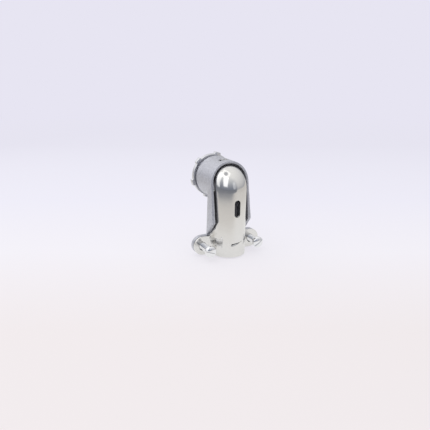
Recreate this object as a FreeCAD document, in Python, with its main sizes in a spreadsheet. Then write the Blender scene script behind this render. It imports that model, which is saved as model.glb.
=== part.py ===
"""Angled squeeze connector: a right-angle fitting that clamps flexible metal conduit to a box.

Frame: +Z is the conduit's axis, pointing up into the elbow, and z = 0 is the foot of the casting.
+Y is the hub's axis, pointing out of the threaded end. The clamp screws stand at -X and +X.
"""
import FreeCAD, Part
import math
import os

import Sketcher

SIZES = [
    ("hub_height", 43.0, "hub axis above the foot"),
    ("hub_radius", 12.05, "outside of the hub barrel and of its front arch"),
    ("arch_front", -1.0, "front of the arch, level with the hub axis"),
    ("shoulder", 18.6, "face that meets the box wall"),
    ("rim_radius", 12.2, "raised rim at the shoulder"),
    ("rim_width", 2.3, "raised rim along the hub axis"),
    ("thread_radius", 10.4, "crest of the hub thread"),
    ("relief_radius", 9.9, "plain neck under the locknut"),
    ("hub_reach", 10.2, "threaded end beyond the shoulder"),
    ("hub_chamfer", 0.8, "lead-in at the end of the thread"),
    ("chamber_radius", 10.7, "inside of the barrel, where the wires turn"),
    ("throat_radius", 7.9, "bore of the threaded end"),
    ("throat_start", 16.6, "end of the chamber, where the throat begins"),
    ("throat_lip", 0.6, "eased edge at the end of the throat"),
    ("leg_half_width", 13.15, "half width of the channel at the foot"),
    ("channel_back", 10.9, "back of the channel at the foot"),
    ("channel_corner", 9.6, "rounded back corners of the channel"),
    ("casting_allowance", 2.0, "stock in front of the legs, trimmed off by their outline"),
    ("knee_front", -4.0, "foremost point of the legs"),
    ("knee_height", 20.9, "height of that point"),
    ("parting", 3.5, "face of the casting's ears and of its edges behind the cover"),
    ("cable_radius", 7.9, "half-round seat of the conduit"),
    ("ear_offset", 16.0, "screw axes from the middle"),
    ("ear_height", 6.4, "screw axes above the foot"),
    ("ear_radius", 5.4, "round end of the ears"),
    ("ear_thickness", 2.6, "ears of the casting"),
    ("ear_gap", 0.8, "open gap between the two pairs of ears"),
    ("screw_radius", 2.1, "crest of the screw thread"),
    ("tapped_clearance", 0.05, "radial play of a screw in its tapped ear"),
    ("cover_radius", 9.2, "outside of the cover"),
    ("cover_axis", -0.6, "centre of the cover's round front"),
    ("cover_sheet", 1.2, "thickness of the pressed sheet"),
    ("cover_bottom", 0.9, "lower edge of the cover above the foot"),
    ("bend_start", 39.0, "height at which the straight front turns into the dome"),
    ("bend_radius", 5.0, "cover's axis about the centre of its bend"),
    ("bend_turn", 68.0, "bend of the dome, in degrees, up to its edge under the arch"),
    ("sight_width", 3.7, "sight slot"),
    ("sight_bottom", 24.7, "lower end of the sight slot"),
    ("sight_top", 34.7, "upper end of the sight slot"),
    ("tongue_front", 6.0, "front of the hook tongue in its slot"),
    ("tongue_width", 5.0, "hook tongue at the top of the cover"),
    ("tongue_rise", 0.4, "tongue standing above the barrel"),
    ("tongue_bend", 0.8, "inside of the tongue's upward bend"),
    ("slot_side", 0.8, "play beside the tongue in its slot"),
    ("slot_front", 1.1, "play in front of the tongue"),
    ("slot_back", 1.1, "play behind the tongue"),
    ("hole_clearance", 0.25, "play of a screw in the cover's ear"),
    ("hole_drop", 0.9, "extra length of that hole, downwards"),
    ("bead_height", 8.4, "middle of the crimp bead"),
    ("bead_depth", 0.5, "crimp bead pressed into the cover"),
    ("bead_radius", 0.9, "section of the crimp tool"),
    ("bead_slant", 11.0, "slant of the crimp in degrees"),
    ("head_radius", 3.3, "screw heads"),
    ("head_depth", 2.5, "screw heads along their axis"),
    ("head_bevel", 0.9, "bevelled edge of the heads"),
    ("head_slot", 0.9, "driver slot"),
    ("head_slot_depth", 1.1, "driver slot into the head"),
    ("shank", 14.0, "screws under the head"),
    ("left_head", -10.2, "front of the left screw head"),
    ("right_head", -8.6, "front of the right screw head"),
    ("nut_gap", 2.1, "locknut away from the shoulder, room for the box wall"),
    ("nut_thickness", 3.0, "locknut along the hub axis"),
    ("nut_running", 0.05, "radial play of the locknut on its neck"),
    ("nut_end_play", 0.4, "neck beyond the locknut"),
    ("nut_radius", 12.8, "locknut between its lugs"),
    ("lug_radius", 14.0, "locknut over its lugs"),
    ("lug_width", 4.6, "one lug at its root"),
    ("lug_taper", 0.5, "lug narrower at its tip, each side"),
    ("nut_bevel", 0.6, "bevel at the back of the nut"),
    ("lug_count", 6, "lugs round the nut"),
    ("lug_phase", 15.0, "first lug to the right of the top, in degrees"),
]

doc = FreeCAD.newDocument("angled_squeeze_connector")
dims = doc.addObject("Spreadsheet::Sheet", "dims")
for row, (alias, size, meaning) in enumerate(SIZES, start=1):
    dims.set(f"A{row}", meaning)
    dims.set(f"B{row}", str(size))
    dims.setAlias(f"B{row}", alias)
doc.recompute()


def size_of(expression):
    """Number that an expression on the sheet's sizes has now."""
    return float(dims.evalExpression(expression))


def new_body(name):
    body = doc.addObject("PartDesign::Body", name)
    body.Label = name
    return body


def origin_feature(body, role):
    return next(feature for feature in body.Origin.OriginFeatures if feature.Role == role)


def sketch_on(body, role, name, offset="0"):
    """Empty sketch on one of the body's own planes, moved along that plane's normal."""
    sketch = body.newObject("Sketcher::SketchObject", name)
    sketch.AttachmentSupport = [(origin_feature(body, role), "")]
    sketch.MapMode = "FlatFace"
    sketch.setExpression("AttachmentOffset.Base.z", offset)
    return sketch


def pin_point(sketch, edge, end, place):
    """Tie one end of an edge to a place given by two expressions."""
    for axis, expression in zip(("DistanceX", "DistanceY"), place):
        datum = size_of(expression)
        index = sketch.addConstraint(Sketcher.Constraint(axis, -1, 1, edge, end, datum))
        sketch.setExpression(f"Constraints[{index}]", expression)


def minor_arc(start, end, radius, turn):
    """Arc of at most a half turn from start to end; turn is 1 for counter-clockwise, -1 for clockwise."""
    chord = end - start
    rise = math.sqrt(max(radius ** 2 - chord.Length ** 2 / 4, 0.0))
    left = FreeCAD.Vector(-chord.y, chord.x, 0).normalize()
    centre = (start + end) * 0.5 + left * (rise * turn)
    first, last = (start, end) if turn > 0 else (end, start)
    angles = [math.atan2(p.y - centre.y, p.x - centre.x) for p in (first, last)]
    circle = Part.Circle(centre, FreeCAD.Vector(0, 0, 1), radius)
    return Part.ArcOfCircle(circle, angles[0], angles[1])


def draw_outline(sketch, corners, arcs=None, half_rounds=None):
    """Closed outline through the corners. arcs: edge number to (radius expression, turn).

    half_rounds: edge number to the turn of a half circle whose centre is level with its two ends.
    """
    arcs, half_rounds = arcs or {}, half_rounds or {}
    points = [FreeCAD.Vector(size_of(x), size_of(y), 0) for x, y in corners]
    edges = []
    for number, start in enumerate(points):
        end = points[(number + 1) % len(points)]
        if number in arcs:
            radius, turn = arcs[number]
            edge = sketch.addGeometry(minor_arc(start, end, size_of(radius), turn))
            index = sketch.addConstraint(Sketcher.Constraint("Radius", edge, size_of(radius)))
            sketch.setExpression(f"Constraints[{index}]", radius)
        elif number in half_rounds:
            turn, level = half_rounds[number], corners[number][1]
            edge = sketch.addGeometry(minor_arc(start, end, (end - start).Length / 2, turn))
            index = sketch.addConstraint(Sketcher.Constraint("DistanceY", -1, 1, edge, 3, size_of(level)))
            sketch.setExpression(f"Constraints[{index}]", level)
        else:
            turn = 1
            edge = sketch.addGeometry(Part.LineSegment(start, end))
        edges.append((edge, 1, 2) if turn > 0 else (edge, 2, 1))
    for number, (edge, start, _) in enumerate(edges):
        before, _, finish = edges[number - 1]
        sketch.addConstraint(Sketcher.Constraint("Coincident", before, finish, edge, start))
        pin_point(sketch, edge, start, corners[number])


def draw_circle(sketch, x, y, radius):
    middle = FreeCAD.Vector(size_of(x), size_of(y), 0)
    circle = sketch.addGeometry(Part.Circle(middle, FreeCAD.Vector(0, 0, 1), size_of(radius)))
    index = sketch.addConstraint(Sketcher.Constraint("Radius", circle, size_of(radius)))
    sketch.setExpression(f"Constraints[{index}]", radius)
    pin_point(sketch, circle, 3, (x, y))


def draw_axis(sketch, start, end):
    """Construction line that a turned feature takes as its axis."""
    points = [FreeCAD.Vector(size_of(x), size_of(y), 0) for x, y in (start, end)]
    axis = sketch.addGeometry(Part.LineSegment(points[0], points[1]), True)
    pin_point(sketch, axis, 1, start)
    pin_point(sketch, axis, 2, end)


def volume_of(body):
    return body.Shape.Volume if body.Tip else 0.0


def finish_feature(body, feature, before, adds):
    """Recompute and make sure that the feature added to the volume before it, or took from it."""
    body.Tip = feature
    doc.recompute()
    change = feature.Shape.Volume - before
    if feature.Shape.isNull() or (change > 0) != adds:
        raise RuntimeError(f"{feature.Name} changed the volume by {change:.3f}")
    return feature


def extrude(body, kind, name, sketch, length, reverse=False, symmetric=False):
    before = volume_of(body)
    feature = body.newObject(f"PartDesign::{kind}", name)
    feature.Profile = sketch
    feature.setExpression("Length", length)
    feature.Reversed = reverse
    if symmetric:
        feature.SideType = "Symmetric"
    return finish_feature(body, feature, before, adds=kind == "Pad")


def turn(body, kind, name, sketch, axis, angle="360"):
    before = volume_of(body)
    feature = body.newObject(f"PartDesign::{kind}", name)
    feature.Profile = sketch
    feature.ReferenceAxis = (sketch, [axis])
    feature.setExpression("Angle", angle)
    return finish_feature(body, feature, before, adds=kind == "Revolution")


def mirror(body, name, original):
    before = volume_of(body)
    feature = body.newObject("PartDesign::Mirrored", name)
    feature.Originals = [original]
    feature.MirrorPlane = (origin_feature(body, "YZ_Plane"), [""])
    return finish_feature(body, feature, before, adds=original.TypeId == "PartDesign::Pad")


EAR_TOP = "dims.ear_height + dims.ear_radius"
EAR_FOOT = "dims.ear_height - dims.ear_radius"
EAR_TIP = "dims.ear_offset + dims.ear_radius"
HUB_END = "dims.shoulder + dims.hub_reach"
NECK_END = "dims.shoulder + dims.nut_gap + dims.nut_thickness + dims.nut_end_play"
COVER_EAR_BACK = "dims.parting - dims.ear_gap"
COVER_EAR_FRONT = "dims.parting - dims.ear_gap - dims.cover_sheet"
COVER_INSIDE = "dims.cover_radius - dims.cover_sheet"
BEND_AXIS = "dims.cover_axis + dims.bend_radius"


def above_axis(radius):
    return f"dims.hub_height + {radius}"


def make_elbow_body():
    """The casting: a channel with two ears that runs up into a barrel with a threaded end."""
    body = new_body("elbow_body")
    wide, back, corner = "dims.leg_half_width", "dims.channel_back", "dims.channel_corner"
    stock = "dims.knee_front - dims.casting_allowance"

    plan = sketch_on(body, "XY_Plane", "channel_plan")
    corners = [
        (f"-{wide}", stock),
        (wide, stock),
        (wide, f"{back} - {corner}"),
        (f"{wide} - {corner}", back),
        (f"{corner} - {wide}", back),
        (f"-{wide}", f"{back} - {corner}"),
    ]
    draw_outline(plan, corners, {2: (corner, 1), 4: (corner, 1)})
    channel = extrude(body, "Pad", "channel", plan, "dims.hub_height")
    channel.setExpression("TaperAngle", f"-atan(({wide} - dims.hub_radius) / dims.hub_height)")
    doc.recompute()

    barrel = sketch_on(body, "YZ_Plane", "barrel_section")
    corners = [
        ("dims.arch_front", "dims.hub_height"),
        ("dims.arch_front", above_axis("dims.hub_radius")),
        ("dims.shoulder - dims.rim_width", above_axis("dims.hub_radius")),
        ("dims.shoulder - dims.rim_width", above_axis("dims.rim_radius")),
        ("dims.shoulder", above_axis("dims.rim_radius")),
        ("dims.shoulder", above_axis("dims.relief_radius")),
        (NECK_END, above_axis("dims.relief_radius")),
        (NECK_END, above_axis("dims.thread_radius")),
        (f"{HUB_END} - dims.hub_chamfer", above_axis("dims.thread_radius")),
        (HUB_END, above_axis("dims.thread_radius - dims.hub_chamfer")),
        (HUB_END, "dims.hub_height"),
    ]
    draw_outline(barrel, corners)
    draw_axis(barrel, corners[0], corners[-1])
    turn(body, "Revolution", "barrel", barrel, "Axis0")

    passage = sketch_on(body, "YZ_Plane", "passage_section")
    before, beyond = "dims.arch_front - dims.casting_allowance", f"{HUB_END} + dims.throat_lip"
    corners = [
        (before, "dims.hub_height"),
        (before, above_axis("dims.chamber_radius")),
        ("dims.throat_start", above_axis("dims.chamber_radius")),
        ("dims.throat_start", above_axis("dims.throat_radius")),
        (f"{HUB_END} - dims.throat_lip", above_axis("dims.throat_radius")),
        (beyond, above_axis("dims.throat_radius + 2 * dims.throat_lip")),
        (beyond, "dims.hub_height"),
    ]
    draw_outline(passage, corners)
    draw_axis(passage, corners[0], corners[-1])
    turn(body, "Groove", "passage", passage, "Axis0")

    seat = sketch_on(body, "XY_Plane", "cable_seat_plan")
    draw_circle(seat, "0", "0", "dims.cable_radius")
    extrude(body, "Pocket", "cable_seat", seat, "dims.hub_height", reverse=True)

    below, ahead = "-dims.casting_allowance", f"{stock} - dims.casting_allowance"
    inside = sketch_on(body, "YZ_Plane", "channel_inside")
    corners = [
        (ahead, below),
        ("dims.parting", below),
        ("dims.parting", "dims.hub_height"),
        (ahead, "dims.hub_height"),
    ]
    draw_outline(inside, corners)
    extrude(body, "Pocket", "cover_room", inside, "2 * dims.chamber_radius", symmetric=True)

    outline = sketch_on(body, "YZ_Plane", "leg_outline")
    rise = "(dims.hub_radius + dims.casting_allowance)"
    lean = "(dims.arch_front - dims.knee_front) / (dims.hub_height - dims.knee_height)"
    corners = [
        (ahead, below),
        ("dims.parting", below),
        ("dims.parting", EAR_TOP),
        ("dims.knee_front", "dims.knee_height"),
        (f"dims.arch_front + {rise} * {lean}", above_axis(rise)),
        (ahead, above_axis(rise)),
    ]
    draw_outline(outline, corners)
    extrude(body, "Pocket", "leg_edges", outline, "4 * dims.leg_half_width", symmetric=True)

    ear = sketch_on(body, "XZ_Plane", "ear_outline", "-dims.parting")
    root = "(dims.cable_radius + dims.leg_half_width) / 2"
    corners = [
        (root, EAR_FOOT),
        ("dims.ear_offset", EAR_FOOT),
        (EAR_TIP, "dims.ear_height"),
        ("dims.ear_offset", EAR_TOP),
        (root, EAR_TOP),
    ]
    draw_outline(ear, corners, {1: ("dims.ear_radius", 1), 2: ("dims.ear_radius", 1)})
    draw_circle(ear, "dims.ear_offset", "dims.ear_height", "dims.screw_radius + dims.tapped_clearance")
    right_ear = extrude(body, "Pad", "right_ear", ear, "dims.ear_thickness", reverse=True)
    mirror(body, "left_ear", right_ear)

    slot = sketch_on(body, "XY_Plane", "tongue_slot_plan", "dims.hub_height")
    side = "dims.tongue_width / 2 + dims.slot_side"
    front = "dims.tongue_front - dims.slot_front"
    rear = "dims.tongue_front + dims.cover_sheet + dims.slot_back"
    draw_outline(slot, [(f"-({side})", front), (side, front), (side, rear), (f"-({side})", rear)])
    extrude(body, "Pocket", "tongue_slot", slot, "dims.hub_radius + dims.casting_allowance", reverse=True)
    return body


def draw_front_section(sketch):
    """Round front with two straight sides that run back to the plane of the ears."""
    outside, inside, middle = "dims.cover_radius", f"({COVER_INSIDE})", "dims.cover_axis"
    corners = [
        (outside, COVER_EAR_BACK),
        (outside, middle),
        (f"-{outside}", middle),
        (f"-{outside}", COVER_EAR_BACK),
        (f"-{inside}", COVER_EAR_BACK),
        (f"-{inside}", middle),
        (inside, middle),
        (inside, COVER_EAR_BACK),
    ]
    draw_outline(sketch, corners, half_rounds={1: -1, 5: 1})


def draw_dome_section(sketch):
    """The round front alone, its two faces drawn as three and four equal arcs."""
    outside, inside, middle = "dims.cover_radius", f"({COVER_INSIDE})", "dims.cover_axis"

    def around(radius, angle):
        return (f"{radius} * sin({angle})", f"{middle} - {radius} * cos({angle})")

    corners = [around(outside, angle) for angle in (90, 30, -30, -90)]
    corners += [around(inside, angle) for angle in (-90, -45, 0, 45, 90)]
    arcs = {number: (outside, -1) for number in range(3)}
    arcs |= {number: (inside, 1) for number in range(4, 8)}
    draw_outline(sketch, corners, arcs)


def draw_clamp_section(sketch):
    """Round front whose sides bend outwards into the two ears."""
    outside, inside, middle = "dims.cover_radius", f"({COVER_INSIDE})", "dims.cover_axis"
    bend = f"{COVER_EAR_FRONT} - {middle}"
    wrap = f"{bend} + dims.cover_sheet"
    turned = f"{outside} + {bend}"
    corners = [
        (EAR_TIP, COVER_EAR_BACK),
        (EAR_TIP, COVER_EAR_FRONT),
        (turned, COVER_EAR_FRONT),
        (outside, middle),
        (f"-{outside}", middle),
        (f"-({turned})", COVER_EAR_FRONT),
        (f"-({EAR_TIP})", COVER_EAR_FRONT),
        (f"-({EAR_TIP})", COVER_EAR_BACK),
        (f"-({turned})", COVER_EAR_BACK),
        (f"-{inside}", middle),
        (inside, middle),
        (turned, COVER_EAR_BACK),
    ]
    bends = {2: (bend, 1), 4: (bend, 1), 8: (wrap, -1), 10: (wrap, -1)}
    draw_outline(sketch, corners, bends, half_rounds={3: -1, 9: 1})


def make_cover_pressing():
    """The sheet cover before its crimp: clamp with ears, straight front, dome and hook tongue."""
    body = new_body("cover_pressing")
    clamp = sketch_on(body, "XY_Plane", "clamp_plan", "dims.cover_bottom")
    draw_clamp_section(clamp)
    extrude(body, "Pad", "clamp", clamp, f"{EAR_TOP} - dims.cover_bottom")

    front = sketch_on(body, "XY_Plane", "front_plan", EAR_TOP)
    draw_front_section(front)
    extrude(body, "Pad", "front", front, f"dims.bend_start - ({EAR_TOP})")

    dome = sketch_on(body, "XY_Plane", "dome_section", "dims.bend_start")
    draw_dome_section(dome)
    draw_axis(dome, (COVER_INSIDE, BEND_AXIS), (f"-({COVER_INSIDE})", BEND_AXIS))
    turn(body, "Revolution", "dome", dome, "Axis0", "dims.bend_turn")

    tongue = sketch_on(body, "YZ_Plane", "tongue_profile")
    start = f"{BEND_AXIS} - (dims.bend_radius + dims.cover_radius) * cos(dims.bend_turn)"
    low = f"dims.bend_start + (dims.bend_radius + {COVER_INSIDE}) * sin(dims.bend_turn)"
    level, tip = f"{low} + dims.cover_sheet", above_axis("dims.hub_radius + dims.tongue_rise")
    bend, front = "dims.tongue_bend", "dims.tongue_front"
    corners = [
        (start, low),
        (f"{front} - {bend}", low),
        (f"{front} + dims.cover_sheet", f"{level} + {bend}"),
        (f"{front} + dims.cover_sheet", tip),
        (front, tip),
        (front, f"{level} + {bend}"),
        (f"{front} - {bend}", level),
        (start, level),
    ]
    draw_outline(tongue, corners, {1: (f"{bend} + dims.cover_sheet", 1), 5: (bend, -1)})
    extrude(body, "Pad", "tongue", tongue, "dims.tongue_width", symmetric=True)

    trim = sketch_on(body, "XZ_Plane", "ear_trim")
    past, over, under = f"{EAR_TIP} + dims.ear_radius", f"{EAR_TOP} + dims.ear_radius", "-dims.ear_radius"
    corners = [
        ("dims.ear_offset", over),
        ("dims.ear_offset", EAR_TOP),
        (EAR_TIP, "dims.ear_height"),
        ("dims.ear_offset", EAR_FOOT),
        ("dims.ear_offset", under),
        (past, under),
        (past, over),
    ]
    draw_outline(trim, corners, {1: ("dims.ear_radius", -1), 2: ("dims.ear_radius", -1)})
    right_end = extrude(body, "Pocket", "right_ear_end", trim, "dims.parting")
    mirror(body, "left_ear_end", right_end)

    hole = sketch_on(body, "XZ_Plane", "ear_hole")
    play = "(dims.screw_radius + dims.hole_clearance)"
    low = "dims.ear_height - dims.hole_drop"
    corners = [
        (f"dims.ear_offset + {play}", low),
        (f"dims.ear_offset + {play}", "dims.ear_height"),
        ("dims.ear_offset", f"dims.ear_height + {play}"),
        (f"dims.ear_offset - {play}", "dims.ear_height"),
        (f"dims.ear_offset - {play}", low),
        ("dims.ear_offset", f"{low} - {play}"),
    ]
    draw_outline(hole, corners, {number: (play, 1) for number in (1, 2, 4, 5)})
    right_hole = extrude(body, "Pocket", "right_ear_hole", hole, "dims.parting")
    mirror(body, "left_ear_hole", right_hole)

    sight = sketch_on(body, "XZ_Plane", "sight_outline")
    half = "dims.sight_width / 2"
    corners = [
        (half, f"dims.sight_bottom + {half}"),
        (half, f"dims.sight_top - {half}"),
        ("0", "dims.sight_top"),
        (f"-{half}", f"dims.sight_top - {half}"),
        (f"-{half}", f"dims.sight_bottom + {half}"),
        ("0", "dims.sight_bottom"),
    ]
    draw_outline(sight, corners, {number: (half, 1) for number in (1, 2, 4, 5)})
    extrude(body, "Pocket", "sight_slot", sight, "2 * dims.cover_radius", reverse=True)
    return body


def crimp_rod(name, radius):
    """Slanted rod across the cover's front, as deep in it as the crimp."""
    rod = doc.addObject("Part::Cylinder", name)
    rod.setExpression("Radius", radius)
    rod.setExpression("Height", "2 * dims.cover_radius")
    slant, half = math.radians(size_of("dims.bead_slant")), size_of("dims.cover_radius")
    front = size_of("dims.cover_axis - dims.cover_radius + dims.bead_depth - dims.bead_radius")
    along = FreeCAD.Vector(math.cos(slant), 0, math.sin(slant))
    middle = FreeCAD.Vector(0, front, size_of("dims.bead_height"))
    facing = FreeCAD.Rotation(FreeCAD.Vector(0, 0, 1), along)
    rod.Placement = FreeCAD.Placement(middle - along * half, facing)
    return rod


def make_clamp_cover(pressing):
    """Press the slanted crimp bead: a groove outside and a ridge of the same sheet inside."""
    ridge = crimp_rod("crimp_ridge", "dims.bead_radius + dims.cover_sheet")
    groove = crimp_rod("crimp_groove", "dims.bead_radius")
    core = doc.addObject("Part::Cylinder", "cover_core")
    core.setExpression("Radius", "dims.cover_radius - dims.cover_sheet / 2")
    core.setExpression("Height", "2 * dims.bead_height")
    core.setExpression("Placement.Base.y", "dims.cover_axis")
    inner = doc.addObject("Part::Common", "crimp_inside")
    inner.Base, inner.Tool = ridge, core
    whole = doc.addObject("Part::Fuse", "ridged_cover")
    whole.Base, whole.Tool = pressing, inner
    cover = doc.addObject("Part::Cut", "clamp_cover")
    cover.Base, cover.Tool = whole, groove
    cover.Label = "clamp_cover"
    doc.recompute()
    return cover


def make_screw(name, side, head_front):
    """Slotted clamp screw, with its thread drawn as a plain cylinder at the crest."""
    body = new_body(name)
    section = sketch_on(body, "XY_Plane", f"{name}_section")
    tip = "dims.head_depth + dims.shank"
    corners = [
        ("0", "0"),
        ("dims.head_radius - dims.head_bevel", "0"),
        ("dims.head_radius", "dims.head_bevel"),
        ("dims.head_radius", "dims.head_depth"),
        ("dims.screw_radius", "dims.head_depth"),
        ("dims.screw_radius", tip),
        ("0", tip),
    ]
    draw_outline(section, corners)
    turn(body, "Revolution", f"{name}_blank", section, "V_Axis")
    cut = sketch_on(body, "XZ_Plane", f"{name}_slot_plan")
    long, half = "2 * dims.head_radius", "dims.head_slot / 2"
    draw_outline(cut, [(f"-{long}", f"-{half}"), (long, f"-{half}"), (long, half), (f"-{long}", half)])
    extrude(body, "Pocket", f"{name}_slot", cut, "dims.head_slot_depth")
    body.setExpression("Placement.Base.x", f"{side} * dims.ear_offset")
    body.setExpression("Placement.Base.y", head_front)
    body.setExpression("Placement.Base.z", "dims.ear_height")
    return body


def make_locknut():
    """Ring with driving lugs that runs on the neck behind the box wall."""
    body = new_body("locknut")
    section = sketch_on(body, "YZ_Plane", "nut_section")
    bore, rim, bevel = "dims.relief_radius + dims.nut_running", "dims.nut_radius", "dims.nut_bevel"
    corners = [
        ("0", bore),
        ("dims.nut_thickness", bore),
        ("dims.nut_thickness", f"{rim} - {bevel}"),
        (f"dims.nut_thickness - {bevel}", rim),
        ("0", rim),
    ]
    draw_outline(section, corners)
    turn(body, "Revolution", "nut_ring", section, "H_Axis")

    lug = sketch_on(body, "XZ_Plane", "lug_outline")
    half, tip = "dims.lug_width / 2", "(dims.lug_width / 2 - dims.lug_taper)"
    root = f"(({bore}) + {rim}) / 2"
    crown = f"sqrt(dims.lug_radius ^ 2 - {tip} ^ 2)"
    draw_outline(
        lug,
        [(f"-{half}", root), (half, root), (tip, crown), (f"-{tip}", crown)],
        {2: ("dims.lug_radius", 1)},
    )
    first = extrude(body, "Pad", "first_lug", lug, f"dims.nut_thickness - {bevel}", reverse=True)

    before = volume_of(body)
    lugs = body.newObject("PartDesign::PolarPattern", "lugs")
    lugs.Originals = [first]
    lugs.Axis = (origin_feature(body, "Y_Axis"), [""])
    lugs.Angle = 360
    lugs.setExpression("Occurrences", "dims.lug_count")
    finish_feature(body, lugs, before, adds=True)

    body.Placement.Rotation = FreeCAD.Rotation(FreeCAD.Vector(0, 1, 0), size_of("dims.lug_phase"))
    body.setExpression("Placement.Base.y", "dims.shoulder + dims.nut_gap")
    body.setExpression("Placement.Base.z", "dims.hub_height")
    return body


nodes = [
    make_elbow_body(),
    make_clamp_cover(make_cover_pressing()),
    make_screw("left_clamp_screw", -1, "dims.left_head"),
    make_screw("right_clamp_screw", 1, "dims.right_head"),
    make_locknut(),
]
doc.recompute()

for item in doc.Objects:
    if "Invalid" in item.State or "Error" in item.State:
        raise RuntimeError(f"{item.Name} is {item.State}")
for node in nodes:
    if node.Shape.isNull() or not node.Shape.isValid():
        raise RuntimeError(f"{node.Label} has no valid shape")

os.makedirs("parts", exist_ok=True)
for node in nodes:
    box = node.Shape.optimalBoundingBox()
    print(
        f"{node.Label}: {len(node.Shape.Solids)} solid, {node.Shape.Volume:.1f} mm3, "
        f"x {box.XMin:.2f} to {box.XMax:.2f}, y {box.YMin:.2f} to {box.YMax:.2f}, "
        f"z {box.ZMin:.2f} to {box.ZMax:.2f}"
    )
    node.Shape.exportStep(f"parts/{node.Label}.step")
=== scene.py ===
# %% [markdown]
# An angled squeeze connector holds flexible metal conduit on an electrical box: the conduit stands in a
# sheet cover with two clamp screws, the wires turn inside the elbow and leave through the threaded hub.
# Its CAD model is loaded first. It gives every place and size, so the pieces made below are laid over it.

# %% Load the CAD frame
import math

import bmesh
import bpy
from mathutils import Matrix, Vector


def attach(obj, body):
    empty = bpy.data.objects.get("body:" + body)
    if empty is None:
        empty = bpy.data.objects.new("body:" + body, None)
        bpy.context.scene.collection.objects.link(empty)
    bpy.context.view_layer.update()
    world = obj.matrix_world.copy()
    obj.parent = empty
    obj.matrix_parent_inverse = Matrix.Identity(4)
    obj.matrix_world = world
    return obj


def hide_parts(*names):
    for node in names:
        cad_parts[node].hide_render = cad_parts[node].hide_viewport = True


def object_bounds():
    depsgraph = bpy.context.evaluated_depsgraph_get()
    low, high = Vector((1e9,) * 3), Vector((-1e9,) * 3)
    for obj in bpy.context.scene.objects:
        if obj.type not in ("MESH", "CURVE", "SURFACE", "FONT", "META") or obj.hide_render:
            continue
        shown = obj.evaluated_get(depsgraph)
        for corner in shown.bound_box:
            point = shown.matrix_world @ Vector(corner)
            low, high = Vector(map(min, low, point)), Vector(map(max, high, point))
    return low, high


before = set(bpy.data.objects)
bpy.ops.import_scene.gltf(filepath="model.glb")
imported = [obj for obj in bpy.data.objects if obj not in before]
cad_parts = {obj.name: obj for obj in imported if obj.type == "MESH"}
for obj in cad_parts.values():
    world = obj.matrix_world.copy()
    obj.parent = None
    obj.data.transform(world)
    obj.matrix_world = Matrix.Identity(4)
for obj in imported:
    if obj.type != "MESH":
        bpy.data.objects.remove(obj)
cad_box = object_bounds()
MM = 0.001
print("CAD box", [[round(value / MM, 2) for value in corner] for corner in cad_box])

# %% [markdown]
# The camera is set before anything else, so that each render can be laid beside the photograph. Its place
# was fitted to measured points as a pinhole camera: a viewing direction, a distance and a focal length in
# pixels. The object stands left of the middle, and a small lens shift keeps the verticals where they are.
# The plain Standard view shows colours about as they are written.

# %% Camera
CAMERA_AZIMUTH, CAMERA_ELEVATION = -25.8, 17.8
TARGET = Vector((-17.97, 0.0, 25.94)) * MM
DISTANCE, NEAREST = 253 * MM, 10 * MM
PICTURE_WIDTH, FOCAL_PIXELS, PRINCIPAL_X, SENSOR_WIDTH = 430, 450, 201, 36


def heading(azimuth, elevation=0):
    """Unit vector towards an azimuth, counted from straight in front, and an elevation, in degrees."""
    a, e = math.radians(azimuth), math.radians(elevation)
    return Vector((math.sin(a) * math.cos(e), -math.cos(a) * math.cos(e), math.sin(e)))


def add_object(name, data):
    """New object in the scene that holds this camera, lamp or mesh."""
    made = bpy.data.objects.new(name, data)
    bpy.context.scene.collection.objects.link(made)
    return made


def aim_at(holder, target, azimuth, elevation, distance):
    """Put a camera, lamp or disc in this direction from its target, turned to face it."""
    outwards = heading(azimuth, elevation)
    holder.location = target + outwards * distance
    holder.rotation_euler = outwards.to_track_quat("Z", "Y").to_euler()


lens = bpy.data.cameras.new("photo_camera")
lens.sensor_width = SENSOR_WIDTH
lens.lens = SENSOR_WIDTH * FOCAL_PIXELS / PICTURE_WIDTH
lens.shift_x = (PICTURE_WIDTH / 2 - PRINCIPAL_X) / PICTURE_WIDTH
lens.clip_start = NEAREST
camera = add_object("photo_camera", lens)
aim_at(camera, TARGET, CAMERA_AZIMUTH, CAMERA_ELEVATION, DISTANCE)
bpy.context.scene.camera = camera
bpy.context.scene.view_settings.view_transform = "Standard"
print("camera at", [round(value / MM, 1) for value in camera.location], "lens", round(lens.lens, 2))

# %% [markdown]
# Floor, light tent and finishes are all node trees. Written link by link such a tree is long and hard to
# follow, so a small class adds a node, sets its inputs and links them in one call. The matt paper of the
# floor is the first material that is made with it.

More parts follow.
